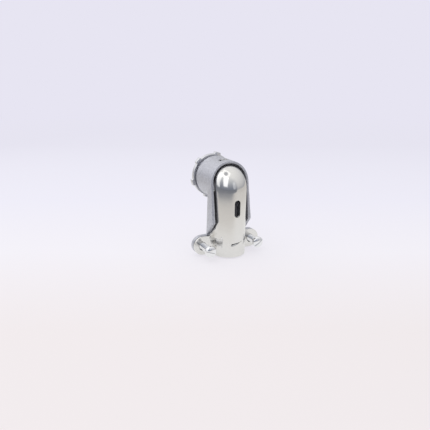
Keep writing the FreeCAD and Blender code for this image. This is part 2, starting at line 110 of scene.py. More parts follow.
# %% Node wiring
class Wiring:
    """Short ways to add linked nodes to one node tree."""

    def __init__(self, tree):
        self.tree = tree

    def feed(self, socket, value):
        """Link a socket to another one, or give it a plain value."""
        if isinstance(value, bpy.types.NodeSocket):
            self.tree.links.new(value, socket)
        else:
            socket.default_value = value

    def node(self, kind, inputs=None, **settings):
        """New node with these settings, and with its inputs linked or set by name or number."""
        made = self.tree.nodes.new(kind)
        for name, value in settings.items():
            setattr(made, name, value)
        for name, value in (inputs or {}).items():
            self.feed(made.inputs[name], value)
        return made

    def calculate(self, operation, *values):
        return self.node("ShaderNodeMath", dict(enumerate(values)), operation=operation).outputs[0]

    def times(self, first, second):
        return self.calculate("MULTIPLY", first, second)

    def plus(self, first, second):
        return self.calculate("ADD", first, second)

    def along(self, vector, axis):
        """Length of a vector's share along an axis."""
        pair = {0: vector, 1: axis}
        return self.node("ShaderNodeVectorMath", pair, operation="DOT_PRODUCT").outputs["Value"]

    def span(self, value, low, high, kind="LINEAR"):
        """A value that goes from 0 to 1 between two limits."""
        limits = {"Value": value, "From Min": low, "From Max": high}
        return self.node("ShaderNodeMapRange", limits, interpolation_type=kind).outputs["Result"]

    def ramp(self, value, stops):
        """Colour ramp with these (position, colour) stops."""
        made = self.node("ShaderNodeValToRGB", {"Fac": value})
        elements = made.color_ramp.elements
        while len(elements) < len(stops):
            elements.new(0.5)
        for element, (position, colour) in zip(elements, stops):
            element.position, element.color = position, (*colour, 1)
        return made.outputs["Color"]

    def mix(self, factor, first, second):
        """Mix of two colours."""
        parts = {"Factor": factor, "A": first, "B": second}
        return self.node("ShaderNodeMix", parts, data_type="RGBA").outputs["Result"]


def node_material(name, sockets):
    """New material, the wiring of its nodes, and its Principled shader with these sockets set."""
    material = bpy.data.materials.new(name)
    material.use_nodes = True
    shader = material.node_tree.nodes["Principled BSDF"]
    for socket, value in sockets.items():
        shader.inputs[socket].default_value = value
    return material, Wiring(material.node_tree), shader


matt = {"Base Color": (0.88, 0.875, 0.90, 1), "Roughness": 0.9, "Specular IOR Level": 0.0}
paper, wire, paper_shader = node_material("pale_floor", matt)
print(paper.name, "starts with", len(paper.node_tree.nodes), "nodes")

# %% [markdown]
# Bright metal shows its surroundings more than its own colour, so the surroundings are part of the look.
# The floor is pale and reaches far. Seen by the camera it is mostly a glow, as paper under a light tent has,
# so its shadows stay faint; that glow is painted light, brightest across the object's place and pinker
# towards the camera. Mirrored in the metal the glow is painted light too: brightest near the object, dimmer
# further out, and painted dark beyond a set distance in front and on the left, which draws the dark curve
# low on the dome. Light Path tells a camera ray from a mirrored one. Far away the floor takes the
# backdrop's colour, so no horizon shows.

# %% Floor glow
BACKDROP = (0.80, 0.783, 0.888)
# Painted light on the floor as the camera sees it: brightest across the object's place, pinker towards the
# camera.
SEEN_FLOOR_PAINTED_LIGHT = [
    (0.0, BACKDROP), (0.1, (0.815, 0.80, 0.905)), (0.58, (0.863, 0.847, 0.95)),
    (0.8, (0.91, 0.885, 0.945)), (0.97, (0.88, 0.82, 0.83)),
]
# Painted light on the floor as the metal mirrors it: bright near the object, dimmer outwards, and painted
# dark at the far end.
MIRRORED_FLOOR_PAINTED_LIGHT = [
    (0.12, (1.0, 1.0, 1.0)), (0.28, (0.91, 0.895, 0.87)), (0.4, (0.77, 0.745, 0.71)),
    (0.62, (0.71, 0.68, 0.645)), (0.71, (0.66, 0.64, 0.62)), (0.75, (0.30, 0.31, 0.34)),
    (0.78, (0.10, 0.115, 0.15)),
]
# Stretches in metres, towards the camera for the seen ramp and outwards for the others.
SEEN_STRETCH, FAR_STRETCH = (-0.4, 0.1), (0.3, 0.9)
SHADOW_STRETCH, MIRRORED_STRETCH = (0.02, 0.08), (0.0, 0.15)
# The painted dark lies in a sector around this azimuth, which starts and is full at these cosines.
PAINTED_DARK_AZIMUTH, PAINTED_DARK_SECTOR = -55, (0.12, 0.8)
# How fast the mirrored ramp is run through outside the sector and in it, and where it stops outside.
PAPER_RATE, PAINTED_DARK_RATE, PAPER_LIMIT = 0.45, 0.815, 0.098
# Share of glow for camera rays and mirrored rays, and what is added clear of the shadow and far away.
CAMERA_GLOW, CAMERA_CLEAR, CAMERA_FAR = 0.72, 0.1, 0.18
MIRROR_GLOW, MIRROR_CLEAR = 0.74, 0.08

spot = wire.node("ShaderNodeTexCoord").outputs["Object"]
ray = wire.node("ShaderNodeLightPath").outputs
reach = wire.node("ShaderNodeVectorMath", {0: spot}, operation="LENGTH").outputs["Value"]
# The mirrored glow is painted light; in the sector the distance runs on faster, so the glow turns to painted
# dark.
around = wire.calculate("MINIMUM", wire.times(reach, PAPER_RATE), PAPER_LIMIT)
facing = wire.calculate("DIVIDE", wire.along(spot, heading(PAINTED_DARK_AZIMUTH)), reach)
sector = wire.span(facing, *PAINTED_DARK_SECTOR, "SMOOTHSTEP")
outward = wire.calculate("SUBTRACT", wire.times(reach, PAINTED_DARK_RATE), around)
painted_dark_reach = wire.plus(around, wire.times(sector, outward))
mirrored = wire.ramp(wire.span(painted_dark_reach, *MIRRORED_STRETCH), MIRRORED_FLOOR_PAINTED_LIGHT)
distant = wire.span(reach, *FAR_STRETCH)
seen = wire.ramp(wire.span(wire.along(spot, heading(CAMERA_AZIMUTH)), *SEEN_STRETCH), SEEN_FLOOR_PAINTED_LIGHT)
direct = wire.mix(distant, seen, (*BACKDROP, 1))
glow = wire.node("ShaderNodeEmission", {"Color": wire.mix(ray["Is Glossy Ray"], direct, mirrored)})
clear = wire.span(reach, *SHADOW_STRETCH)
straight = wire.plus(wire.plus(wire.times(clear, CAMERA_CLEAR), CAMERA_GLOW), wire.times(distant, CAMERA_FAR))
bounced = wire.plus(wire.times(clear, MIRROR_CLEAR), MIRROR_GLOW)
share = wire.plus(wire.times(straight, ray["Is Camera Ray"]), wire.times(bounced, ray["Is Glossy Ray"]))
surfaces = {0: share, 1: paper_shader.outputs["BSDF"], 2: glow.outputs["Emission"]}
blend = wire.node("ShaderNodeMixShader", surfaces)
wire.feed(paper.node_tree.nodes["Material Output"].inputs["Surface"], blend.outputs["Shader"])
print(paper.name, "ends with", len(paper.node_tree.nodes), "nodes")

# %% [markdown]
# The floor itself is one large face just under the foot, so that the two never share a plane. It isn't part
# of the object.

# %% Floor plane
FLOOR_HALF, FLOOR_DROP = 3.0, 0.05 * MM
SQUARE = ((-1, -1), (1, -1), (1, 1), (-1, 1))
floor_height = cad_box[0][2] - FLOOR_DROP
floor_mesh = bpy.data.meshes.new("floor")
floor_corners = [(x * FLOOR_HALF, y * FLOOR_HALF, floor_height) for x, y in SQUARE]
floor_mesh.from_pydata(floor_corners, [], [(0, 1, 2, 3)])
floor_mesh.materials.append(paper)
floor = add_object("floor", floor_mesh)
print("floor at z", round(floor_height / MM, 2), "mm")

# %% [markdown]
# The world stands for the tent: bright overhead, behind and on the right, and dimmer low down where the
# camera stands. Two ramps over the height of a direction give the two sides, and the direction's share
# towards the camera mixes them. Camera rays see one plain colour, so the picture's background stays even.

# %% World
FAR_SIDE = [
    (0.0, (0.45, 0.455, 0.49)), (0.2, (0.67, 0.67, 0.69)), (0.6, (0.86, 0.86, 0.875)), (0.9, (1.0, 1.0, 1.0)),
]
NEAR_SIDE = [
    (0.0, (0.22, 0.24, 0.29)), (0.15, (0.27, 0.29, 0.35)), (0.45, (0.48, 0.50, 0.55)),
    (0.75, (0.78, 0.79, 0.81)), (0.92, (1.0, 1.0, 1.0)),
]
NEAR_AZIMUTH, NEAR_SECTOR = -38, (0.30, 0.64)
world = bpy.data.worlds.new("light_tent")
bpy.context.scene.world = world
world.use_nodes = True
wire = Wiring(world.node_tree)
direction = wire.node("ShaderNodeTexCoord").outputs["Generated"]
height = wire.along(direction, (0, 0, 1))
near = wire.span(wire.along(direction, heading(NEAR_AZIMUTH)), *NEAR_SECTOR, "SMOOTHSTEP")
tent = wire.mix(near, wire.ramp(height, FAR_SIDE), wire.ramp(height, NEAR_SIDE))
camera_ray = wire.node("ShaderNodeLightPath").outputs["Is Camera Ray"]
backdrop = wire.mix(camera_ray, tent, (*BACKDROP, 1))
wire.feed(world.node_tree.nodes["Background"].inputs["Color"], backdrop)
print("world with", len(world.node_tree.nodes), "nodes")

# %% [markdown]
# Soft boxes make the highlights. Each is placed by the direction in which the metal should mirror it: its
# azimuth from the front, its elevation, and its width and height as angles. Its power follows from its
# area and the brightness that is wanted, so boxes of different size stay comparable.

# %% Soft boxes
AIM = Vector((0, -4, 44)) * MM
BOX_DISTANCE, SPOT_DISTANCE = 420 * MM, 300 * MM


def soft_box(name, azimuth, elevation, width, height, brightness, distance=BOX_DISTANCE):
    """Rectangular area lamp of this angular size; brightness is what a perfect mirror shows of it."""
    lamp = bpy.data.lights.new(name, "AREA")
    lamp.shape = "RECTANGLE"
    lamp.size, lamp.size_y = (2 * distance * math.tan(math.radians(angle) / 2) for angle in (width, height))
    lamp.energy = brightness * math.pi * lamp.size * lamp.size_y
    aim_at(add_object(name, lamp), AIM, azimuth, elevation, distance)
    print(name, "with", round(lamp.energy, 3), "W")


# Name, azimuth, elevation, width, height and brightness.
soft_box("back_left_box", -150, 26, 70, 40, 0.3)
soft_box("window_strip", -51, 35, 29, 46, 0.9)
soft_box("left_strip", -103, 31, 24, 60, 0.55)
soft_box("right_strip", 8, 17, 16, 30, 0.3)
soft_box("top_spot", -66, 71, 40, 40, 0.4, SPOT_DISTANCE)

# %% [markdown]
# A tent has a small opening above. It shows as the grey spot inside the brightest highlight of the dome.
# It is a disc that only mirrored light sees.

# %% Tent opening
OPENING_RADIUS, OPENING_DISTANCE = 48 * MM, 250 * MM
OPENING_AZIMUTH, OPENING_ELEVATION = -66, 72


def mesh_from(shape, name):
    """Plain mesh of a bmesh, which is freed."""
    mesh = bpy.data.meshes.new(name)
    shape.to_mesh(mesh)
    shape.free()
    return mesh


circle = bmesh.new()
bmesh.ops.create_circle(circle, cap_ends=True, segments=48, radius=OPENING_RADIUS)
disc = add_object("tent_opening", mesh_from(circle, "tent_opening"))
dim = {"Base Color": (0, 0, 0, 1), "Emission Color": (0.5, 0.51, 0.54, 1), "Emission Strength": 1.0}
disc.data.materials.append(node_material("tent_opening_grey", dim)[0])
aim_at(disc, AIM, OPENING_AZIMUTH, OPENING_ELEVATION, OPENING_DISTANCE)
disc.visible_camera = disc.visible_diffuse = False
print("tent opening", round(disc.dimensions.x / MM, 1), "mm across")

# %% [markdown]
# Four finishes cover the object: as-cast zinc on the elbow, bright zinc plating on the sheet cover and on
# the screws, and a satin plating on the locknut. All are metals, so the base colour is their reflectance.
# The difference is in roughness and in the small bumps of casting skin and sheet grain. The casting has a
# thin dull skin, so it is metallic only in part.

# %% Finishes
GRAIN_LIMITS, ROUGHNESS_SPREAD, CLOUD_SIZE = (0.3, 0.7), 0.15, 4


def metal(name, colour, roughness, spread, grain, bump, depth, metallic=1.0):
    """Metal whose colour and roughness vary with a fine grain on Object coordinates.

    spread: share by which the colour varies; grain: noise scale in cells per metre; bump: its strength;
    depth: height of the bumps in metres.
    """
    material, wire, shader = node_material(name, {"Metallic": metallic})
    place = wire.node("ShaderNodeTexCoord").outputs["Object"]
    fine = wire.node("ShaderNodeTexNoise", {"Vector": place, "Scale": grain, "Detail": 4}).outputs["Fac"]
    cloud = wire.node("ShaderNodeTexNoise", {"Vector": place, "Scale": grain / CLOUD_SIZE, "Detail": 3})
    darker, lighter = ((*(min(value * (1 + part), 1) for value in colour), 1) for part in (-spread, spread))
    wire.feed(shader.inputs["Base Color"], wire.mix(cloud.outputs["Fac"], darker, lighter))
    limits = {
        "Value": fine, "From Min": GRAIN_LIMITS[0], "From Max": GRAIN_LIMITS[1],
        "To Min": roughness * (1 - ROUGHNESS_SPREAD), "To Max": roughness * (1 + ROUGHNESS_SPREAD),
    }
    wire.feed(shader.inputs["Roughness"], wire.node("ShaderNodeMapRange", limits).outputs["Result"])
    skin = wire.node("ShaderNodeBump", {"Strength": bump, "Distance": depth, "Height": fine})
    wire.feed(shader.inputs["Normal"], skin.outputs["Normal"])
    return material


# Name, colour, roughness, spread, grain, bump and depth.
cast_zinc = metal("cast_zinc_skin", (0.525, 0.53, 0.575), 0.36, 0.42, 5200, 0.9, 0.06 * MM, metallic=0.7)
plated_sheet = metal("plated_sheet_bright", (0.74, 0.73, 0.71), 0.135, 0.03, 1500, 0.1, 0.02 * MM)
plated_screw = metal("plated_screw_bright", (0.84, 0.84, 0.85), 0.16, 0.03, 1800, 0.1, 0.02 * MM)
plated_nut = metal("plated_nut_satin", (0.72, 0.72, 0.74), 0.3, 0.05, 1800, 0.25, 0.03 * MM)
print("finishes", [material.name for material in (cast_zinc, plated_sheet, plated_screw, plated_nut)])

# %% [markdown]
# Screw threads are helical ridges. A texture can't give them a silhouette, and modelling each turn by
# hand is slow, so a Geometry Nodes tree draws a spiral, sweeps a ridge profile along it and thins the
# ridge at both ends. The same tree serves the hub and the two clamp screws: only its inputs change.

# %% Thread ridge tree
THREAD_SIZES = ("Root radius", "Depth", "Pitch", "Turns", "Start", "Across", "Height")
TURN_POINTS, RUN_IN, END_SCALE = 40, 0.08, 0.05
FOOT_SHARE, TOP_SHARE, SUNK_SHARE = 0.46, 0.1, 0.25


def thread_tree():
    """Tree that sweeps a ridge along a spiral and lays it along y; its sizes are named inputs."""
    tree = bpy.data.node_groups.new("thread_ridge", "GeometryNodeTree")
    for name in THREAD_SIZES:
        tree.interface.new_socket(name, in_out="INPUT", socket_type="NodeSocketFloat")
    tree.interface.new_socket("Finish", in_out="INPUT", socket_type="NodeSocketMaterial")
    tree.interface.new_socket("Geometry", in_out="OUTPUT", socket_type="NodeSocketGeometry")
    wire = Wiring(tree)
    given = wire.node("NodeGroupInput").outputs
    spiral = wire.node("GeometryNodeCurveSpiral", {
        "Resolution": TURN_POINTS, "Rotations": given["Turns"], "Reverse": False,
        "Start Radius": given["Root radius"], "End Radius": given["Root radius"],
        "Height": wire.times(given["Turns"], given["Pitch"]),
    })
    upright = wire.node("GeometryNodeSetCurveNormal", {"Curve": spiral.outputs["Curve"]}, mode="Z_UP")
    sweep = wire.node("GeometryNodeCurveToMesh", {
        "Curve": upright.outputs["Curve"], "Profile Curve": ridge_profile(wire, given),
        "Scale": thinned_ends(wire), "Fill Caps": True,
    })
    axes = {"X": given["Across"], "Y": given["Start"], "Z": given["Height"]}
    place = wire.node("ShaderNodeCombineXYZ", axes)
    lay = wire.node("GeometryNodeTransform", {
        "Geometry": sweep.outputs["Mesh"], "Translation": place.outputs[0], "Rotation": (-math.pi / 2, 0, 0),
    })
    real = wire.node("GeometryNodeRealizeInstances", {"Geometry": lay.outputs["Geometry"]})
    coat = wire.node("GeometryNodeSetMaterial", {
        "Geometry": real.outputs["Geometry"], "Material": given["Finish"],
    })
    wire.feed(wire.node("NodeGroupOutput").inputs["Geometry"], coat.outputs["Geometry"])
    return tree


def thinned_ends(wire):
    """Scale along the spiral: full in its middle, and running in from almost nothing at both ends."""
    place = wire.node("GeometryNodeSplineParameter").outputs["Factor"]
    fade = wire.node("ShaderNodeFloatCurve", {"Value": place})
    curve = fade.mapping.curves[0]
    curve.points[0].location, curve.points[1].location = (0.0, END_SCALE), (1.0, END_SCALE)
    for position in (RUN_IN, 1 - RUN_IN):
        curve.points.new(position, 1.0)
    fade.mapping.update()
    return fade.outputs["Value"]


def ridge_profile(wire, given):
    """Section of the ridge: a foot sunk a little into the core and a narrow top that stands out."""
    profile = wire.node("GeometryNodeCurvePrimitiveQuadrilateral", mode="POINTS")
    foot, top = (wire.times(given["Pitch"], part) for part in (FOOT_SHARE, TOP_SHARE))
    sunk, risen = (wire.times(given["Depth"], part) for part in (SUNK_SHARE, -1.0))
    corners = ((sunk, foot, 1.0), (risen, top, 1.0), (risen, top, -1.0), (sunk, foot, -1.0))
    for number, (inwards, half, side) in enumerate(corners, start=1):
        corner = wire.node("ShaderNodeCombineXYZ", {"X": inwards, "Y": wire.times(half, side)})
        wire.feed(profile.inputs[f"Point {number}"], corner.outputs[0])
    return profile.outputs["Curve"]


ridge_tree = thread_tree()
print("thread tree with", len(ridge_tree.nodes), "nodes")

# %% [markdown]
# A tree makes nothing by itself: a modifier on an object runs it. Its inputs are set by the sockets'
# identifiers, the evaluated object is turned into a plain mesh and the object is removed again. The enclosed
# volume is printed, because a ridge that is inside out would show a negative one.

# %% Hub thread
HUB_AXIS, HUB_ROOT, HUB_CREST = 43.0, 9.85, 10.4
HUB_THREAD = {
    "Root radius": HUB_ROOT * MM, "Depth": (HUB_CREST - HUB_ROOT) * MM, "Pitch": 1.8 * MM, "Turns": 2.1,
    "Start": 24.25 * MM, "Across": 0.0, "Height": HUB_AXIS * MM,
}


def evaluated_mesh(piece):
    """Plain mesh of an object with its modifiers run."""
    bpy.context.view_layer.update()
    evaluated = piece.evaluated_get(bpy.context.evaluated_depsgraph_get())
    mesh = bpy.data.meshes.new_from_object(evaluated)
    mesh.name = piece.name
    return mesh


def tree_mesh(tree, name, values):
    """Plain mesh that the tree makes with these inputs."""
    holder = add_object(name, bpy.data.meshes.new(name))
    maker = holder.modifiers.new("maker", "NODES")
    maker.node_group = tree
    for socket in tree.interface.items_tree:
        if socket.in_out == "INPUT":
            maker[socket.identifier] = values[socket.name]
    mesh = evaluated_mesh(holder)
    bpy.data.objects.remove(holder)
    shape = bmesh.new()
    shape.from_mesh(mesh)
    print(name, "encloses", round(shape.calc_volume(signed=True) / MM ** 3, 2), "mm3")
    shape.free()
    return mesh


hub_ridge = tree_mesh(ridge_tree, "hub_thread_ridge", {**HUB_THREAD, "Finish": cast_zinc})

# %% [markdown]
# The elbow is a casting, so its edges are soft and its inner corners have small fillets. Bevelling each
# edge of a CAD mesh is fragile. A fine voxel remesh followed by a little smoothing rounds every edge
# alike, as the die does, and melts the hub's thread ridge into the same skin. Every finished piece then gets
# its finish, takes the place of one CAD node and moves with that node's body.

# %% Elbow casting
MERGE, VOXEL = 0.002 * MM, 0.24 * MM
NECK_END, CREST_BAND = 24.0 * MM, 0.02 * MM


def merged_copy(node):
    """Copy of a CAD node's mesh, whose loose triangles are merged."""
    shape = bmesh.new()
    shape.from_mesh(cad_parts[node].data)
    bmesh.ops.remove_doubles(shape, verts=shape.verts, dist=MERGE)
    return shape


def modify(piece, kind, **settings):
    """Add a modifier with these settings."""
    tool = piece.modifiers.new(kind.lower(), kind)
    for name, value in settings.items():
        setattr(tool, name, value)


def apply_modifiers(piece):
    """Turn the evaluated piece into its own plain mesh and drop the modifiers."""
    mesh = evaluated_mesh(piece)
    piece.modifiers.clear()
    piece.data = mesh


def shade(mesh, sharp_degrees):
    """Smooth shading with edges kept sharp where two faces meet at more than the angle."""
    shape = bmesh.new()
    shape.from_mesh(mesh)
    limit = math.radians(sharp_degrees)
    for face in shape.faces:
        face.smooth = True
    for edge in shape.edges:
        edge.smooth = len(edge.link_faces) == 2 and edge.calc_face_angle(0.0) < limit
    shape.to_mesh(mesh)
    shape.free()


def stand_for(piece, node, body, material):
    """Give the piece its finish and let it take the CAD node's place on the node's body."""
    piece.data.materials.clear()
    piece.data.materials.append(material)
    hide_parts(node)
    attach(piece, body)
    triangles = sum(len(face.vertices) - 2 for face in piece.data.polygons)
    print(piece.name, triangles, "triangles, rides on", body)


casting = merged_copy("elbow_body")
# The hub's plain cylinder is drawn in to the thread's root, so that the ridge stands out from it.
for vertex in casting.verts:
    off_axis = Vector((vertex.co.x, vertex.co.z - HUB_AXIS * MM))
    if vertex.co.y > NECK_END and abs(off_axis.length - HUB_CREST * MM) < CREST_BAND:
        off_axis *= HUB_ROOT * MM / off_axis.length
        vertex.co.x, vertex.co.z = off_axis.x, HUB_AXIS * MM + off_axis.y
casting.from_mesh(hub_ridge)
elbow = add_object("elbow_casting", mesh_from(casting, "elbow_casting"))
modify(elbow, "REMESH", mode="VOXEL", voxel_size=VOXEL)
modify(elbow, "SMOOTH", factor=0.5, iterations=5)
modify(elbow, "DECIMATE", ratio=0.5)
apply_modifiers(elbow)
shade(elbow.data, 180)
stand_for(elbow, "elbow_body", "elbow", cast_zinc)

# %% [markdown]
# The cover is one pressed sheet, and its outer face follows a rule, so it is written as rows of points from
# left to right, one row for each height. The middle of each row is a half round, a little wider than deep.
# The slanted crimp is pressed into the same points: deepest near its left end, and fading to the right.

# %% Cover front and crimp
ROUND, HALF_WIDTH, ROUND_Y, ROUND_STEPS = 9.2, 9.75, -0.6, 112
CRIMP_LEFT, CRIMP_RIGHT, CRIMP_HEIGHT, CRIMP_SLOPE = -3.7, 3.8, 9.1, math.tan(math.radians(11))
CRIMP_DEPTH, CRIMP_SPREAD, CRIMP_RUN_IN, CRIMP_FADE = 0.45, 0.6, 0.15, 0.8


def smooth_step(value):
    """0 below 0, 1 above 1 and a soft rise between."""
    value = min(max(value, 0.0), 1.0)
    return value * value * (3 - 2 * value)


def crimp_line(x):
    """Height of the crimp's middle line."""
    return CRIMP_HEIGHT + x * CRIMP_SLOPE


def crimp_depth(x, z):
    """How far the sheet is pressed in around the slanted crimp."""
    if not CRIMP_LEFT < x < CRIMP_RIGHT:
        return 0.0
    share = (x - CRIMP_LEFT) / (CRIMP_RIGHT - CRIMP_LEFT)
    trough = CRIMP_DEPTH * math.exp(-((z - crimp_line(x)) / CRIMP_SPREAD) ** 2)
    return trough * smooth_step(share / CRIMP_RUN_IN) * (1 - share) ** CRIMP_FADE


def round_end(stop):
    """Where the half round ends on the right when it stops at this angle."""
    return HALF_WIDTH * math.sin(stop), ROUND_Y - ROUND * math.cos(stop)


def half_round(z, stop=math.pi / 2, pressed=False):
    """Points of the round front at one height, from the left side to the right."""
    points = []
    for i in range(ROUND_STEPS + 1):
        angle = stop * (2 * i / ROUND_STEPS - 1)
        x = HALF_WIDTH * math.sin(angle)
        inwards = crimp_depth(x, z) if pressed else 0.0
        points.append((x - inwards * math.sin(angle), ROUND_Y - (ROUND - inwards) * math.cos(angle), z))
    return points


deepest = max(crimp_depth(x / 10, crimp_line(x / 10)) for x in range(-40, 41))
print("crimp pressed in by up to", round(deepest, 2), "mm")

# %% [markdown]
# At the clamp a row goes on through a bend into the ear on each side. Above the ears the bend opens into a
# flank that ends short of the casting's leg, and from the knee up the flanks run straight back. Only the
# right side is written, and its mirror image is the left one.

# %% Cover ears and flanks
SHEET, EAR_X, EAR_Z, EAR_ROUND, EAR_FRONT = 1.2, 16.0, 6.4, 5.4, 1.5
EAR_TOP, BLEND_FROM, KNEE = 11.8, 9.6, 20.9
EAR_BEND = EAR_FRONT - ROUND_Y
OPENED, SIDE_BACK, SIDE_LIMIT, STRAIGHT = math.radians(22), 2.6, 10.1, 1e-4
LEG_EDGE, LEG_LEAN, LEG_PLAY = 3.5, 7.5, 0.6
SIDE_STEPS, EAR_STEPS, EAR_BLEND = 14, 12, 3


def bend_points():
    """Bend from the end of the round into the ear, as steps from its start."""
    turns = [math.pi / 2 * i / SIDE_STEPS for i in range(1, SIDE_STEPS + 1)]
    return [(EAR_BEND * (1 - math.cos(t)), EAR_BEND * math.sin(t)) for t in turns]


def flank_points(z, stop):
    """Straight side that leaves the round at an angle and ends short of the casting's leg, as steps."""
    x, y = round_end(stop)
    along = Vector((HALF_WIDTH * math.cos(stop), ROUND * math.sin(stop))).normalized()
    climb = (z - EAR_TOP) / (KNEE - EAR_TOP)
    leg_edge = LEG_EDGE - climb * LEG_LEAN
    back = EAR_FRONT + (SIDE_BACK - EAR_FRONT) * smooth_step(climb)
    inside = y + (SIDE_LIMIT - x) * along.y / along.x if along.x > STRAIGHT else back
    length = (min(back, max(inside, leg_edge - LEG_PLAY)) - y) / along.y
    shares = [length * i / SIDE_STEPS for i in range(1, SIDE_STEPS + 1)]
    return [(along.x * s, along.y * s) for s in shares]


def whole_row(side, middle):
    """Row from left to right: the mirrored side, the round front and the side itself."""
    left = [(-x, y, z) for x, y, z in reversed(side)]
    return left + middle + side


def clamp_row(z):
    """One row of the clamp: round front, bend and ear; near the top the bend opens into the flank."""
    opened = smooth_step((z - BLEND_FROM) / (EAR_TOP - BLEND_FROM))
    stop = math.pi / 2 - OPENED * opened
    x, y = round_end(stop)
    pairs = zip(bend_points(), flank_points(EAR_TOP, math.pi / 2 - OPENED))
    side = [(x + a[0] + (b[0] - a[0]) * opened, y + a[1] + (b[1] - a[1]) * opened, z) for a, b in pairs]
    tip = EAR_X + math.sqrt(max(EAR_ROUND ** 2 - (z - EAR_Z) ** 2, 0.0))
    inner, depth, _ = side[-1]
    for i in range(1, EAR_STEPS + 1):
        share = i / EAR_STEPS
        flat = smooth_step(share * EAR_BLEND)
        side.append((inner + (tip - inner) * share, depth + (EAR_FRONT - depth) * flat, z))
    return whole_row(side, half_round(z, stop, pressed=True))


def front_row(z):
    """One row above the clamp: round front and straight flanks that open towards the clamp."""
    stop = math.pi / 2 - OPENED * smooth_step((KNEE - z) / (KNEE - EAR_TOP))
    x, y = round_end(stop)
    return whole_row([(x + a, y + b, z) for a, b in flank_points(z, stop)], half_round(z, stop))


print("ears reach", round(clamp_row(EAR_Z)[-1][0], 2), "mm to each side")

# %% [markdown]
# Above the straight front the half round turns about a level axis, which makes the dome. All rows are joined
# by faces, and Solidify gives the sheet its thickness. Between the ears the real cover sits a little to the
# left in its play, and so does this one.

# %% Cover sheet
LOW, BEND_START, BEND_RADIUS, DOME_TURN = 0.9, 39.0, 5.0, 94
EAR_ROWS, FRONT_ROWS, DOME_ROWS, FRONT_CROWDING = 40, 48, 56, 1.3
CRIMP_ROWS, CRIMP_ROW_STEP, CRIMP_ROWS_FROM = 40, 0.1, 6.6
OFF_CENTRE, CENTRED_FROM, CENTRED_OVER = -0.15, 10, 2
SEAM = 0.004 * MM


def dome_row(degrees):
    """The half round, turned about the level axis behind it."""
    turn = math.radians(degrees)
    row = []
    for x, y, _ in half_round(BEND_START):
        arm = BEND_RADIUS + ROUND_Y - y
        row.append((x, ROUND_Y + BEND_RADIUS - arm * math.cos(turn), BEND_START + arm * math.sin(turn)))
    return row


def add_rows(shape, rows):
    """Faces between rows of equal length, pointing outwards."""
    made = []
    for row in rows:
        shifts = [OFF_CENTRE * (1 - smooth_step((abs(x) - CENTRED_FROM) / CENTRED_OVER)) for x, _, _ in row]
        moved = [Vector((x + shift, y, z)) for shift, (x, y, z) in zip(shifts, row)]
        made.append([shape.verts.new(point * MM) for point in moved])
    for lower, upper in zip(made, made[1:]):
        for i in range(len(lower) - 1):
            shape.faces.new((lower[i], lower[i + 1], upper[i + 1], upper[i]))


ear_heights = {round(EAR_Z - EAR_ROUND * math.cos(math.pi * i / EAR_ROWS), 4) for i in range(EAR_ROWS + 1)}
crimp_heights = {round(CRIMP_ROWS_FROM + CRIMP_ROW_STEP * i, 4) for i in range(CRIMP_ROWS)}
clamp_heights = sorted(ear_heights | crimp_heights)
clamp_heights[0] = LOW
rises = [(i / FRONT_ROWS) ** FRONT_CROWDING for i in range(FRONT_ROWS + 1)]
sheet = bmesh.new()
add_rows(sheet, [clamp_row(z) for z in clamp_heights])
add_rows(sheet, [front_row(EAR_TOP + (BEND_START - EAR_TOP) * rise) for rise in rises])
add_rows(sheet, [dome_row(DOME_TURN * i / DOME_ROWS) for i in range(DOME_ROWS + 1)])
bmesh.ops.remove_doubles(sheet, verts=sheet.verts, dist=SEAM)
cover = add_object("sheet_cover", mesh_from(sheet, "sheet_cover"))
modify(cover, "SOLIDIFY", thickness=SHEET * MM, offset=-1.0, use_even_offset=True)
apply_modifiers(cover)
print("cover sheet", len(cover.data.polygons), "faces")

# %% [markdown]
# The sight slot, the two screw holes and the thin wedge of the crimp are punched with booleans: their
# outlines are exact, and the dense sheet keeps its smooth shading around them. Each punch is a prism along y
# whose outline is drawn in the front plane.

# %% Punched holes
SIGHT_LOW, SIGHT_HIGH, SIGHT_HALF = 26.55, 32.85, 1.85
HOLE_LOW, HOLE_HALF = 5.75, 2.2
FRONT_PUNCH, EAR_PUNCH = (-14, -4), (-1, 6)
SLIT_LEFT, SLIT_RIGHT, SLIT_STEPS = CRIMP_LEFT + 0.4, CRIMP_RIGHT - 0.2, 12
SLIT_THIN, SLIT_WIDER, SLIT_TAPER, SLIT_RUN_IN, SLIT_OPEN = 0.07, 0.38, 1.5, 0.1, 0.25


def bridge(shape, rings):
    """Closed skin over a row of rings; a ring of one point is a pole, and other end rings get a cap."""
    count = max(len(ring) for ring in rings)
    for pair in zip(rings, rings[1:]):
        first, second = (ring if len(ring) > 1 else ring * count for ring in pair)
        for i in range(count):
            j = (i + 1) % count
            shape.faces.new(list(dict.fromkeys((first[i], first[j], second[j], second[i]))))
    for ring in (rings[0], rings[-1]):
        if len(ring) > 1:
            shape.faces.new(ring)
    bmesh.ops.recalc_face_normals(shape, faces=shape.faces)


def prism(name, outline, ends):
    """Closed prism along y, between its two ends, from an outline of (x, z) points in millimetres."""
    shape = bmesh.new()
    bridge(shape, [[shape.verts.new(Vector((x, y, z)) * MM) for x, z in outline] for y in ends])
    return add_object(name, mesh_from(shape, name))


def cut(piece, cutter):
    """Boolean difference with the exact solver; the cutter is removed afterwards."""
    modify(piece, "BOOLEAN", operation="DIFFERENCE", solver="EXACT", object=cutter)
    apply_modifiers(piece)
    bpy.data.objects.remove(cutter)


def obround(x, low, high, half, steps=20):
    """Outline of a slot with round ends whose end centres are at heights low and high."""
    turns = [math.pi * i / steps for i in range(steps + 1)]
    top = [(x + half * math.cos(t), high + half * math.sin(t)) for t in turns]
    bottom = [(x - half * math.cos(t), low - half * math.sin(t)) for t in turns]
    return top + bottom


def slit_edge(share, side):
    """Point on the upper or lower edge of the crimp's slit, which narrows from left to right."""
    x = SLIT_LEFT + (SLIT_RIGHT - SLIT_LEFT) * share
    wider = (1 - share) ** SLIT_TAPER * smooth_step(share / SLIT_RUN_IN + SLIT_OPEN)
    return x, crimp_line(x) + side * (SLIT_THIN + SLIT_WIDER * wider)


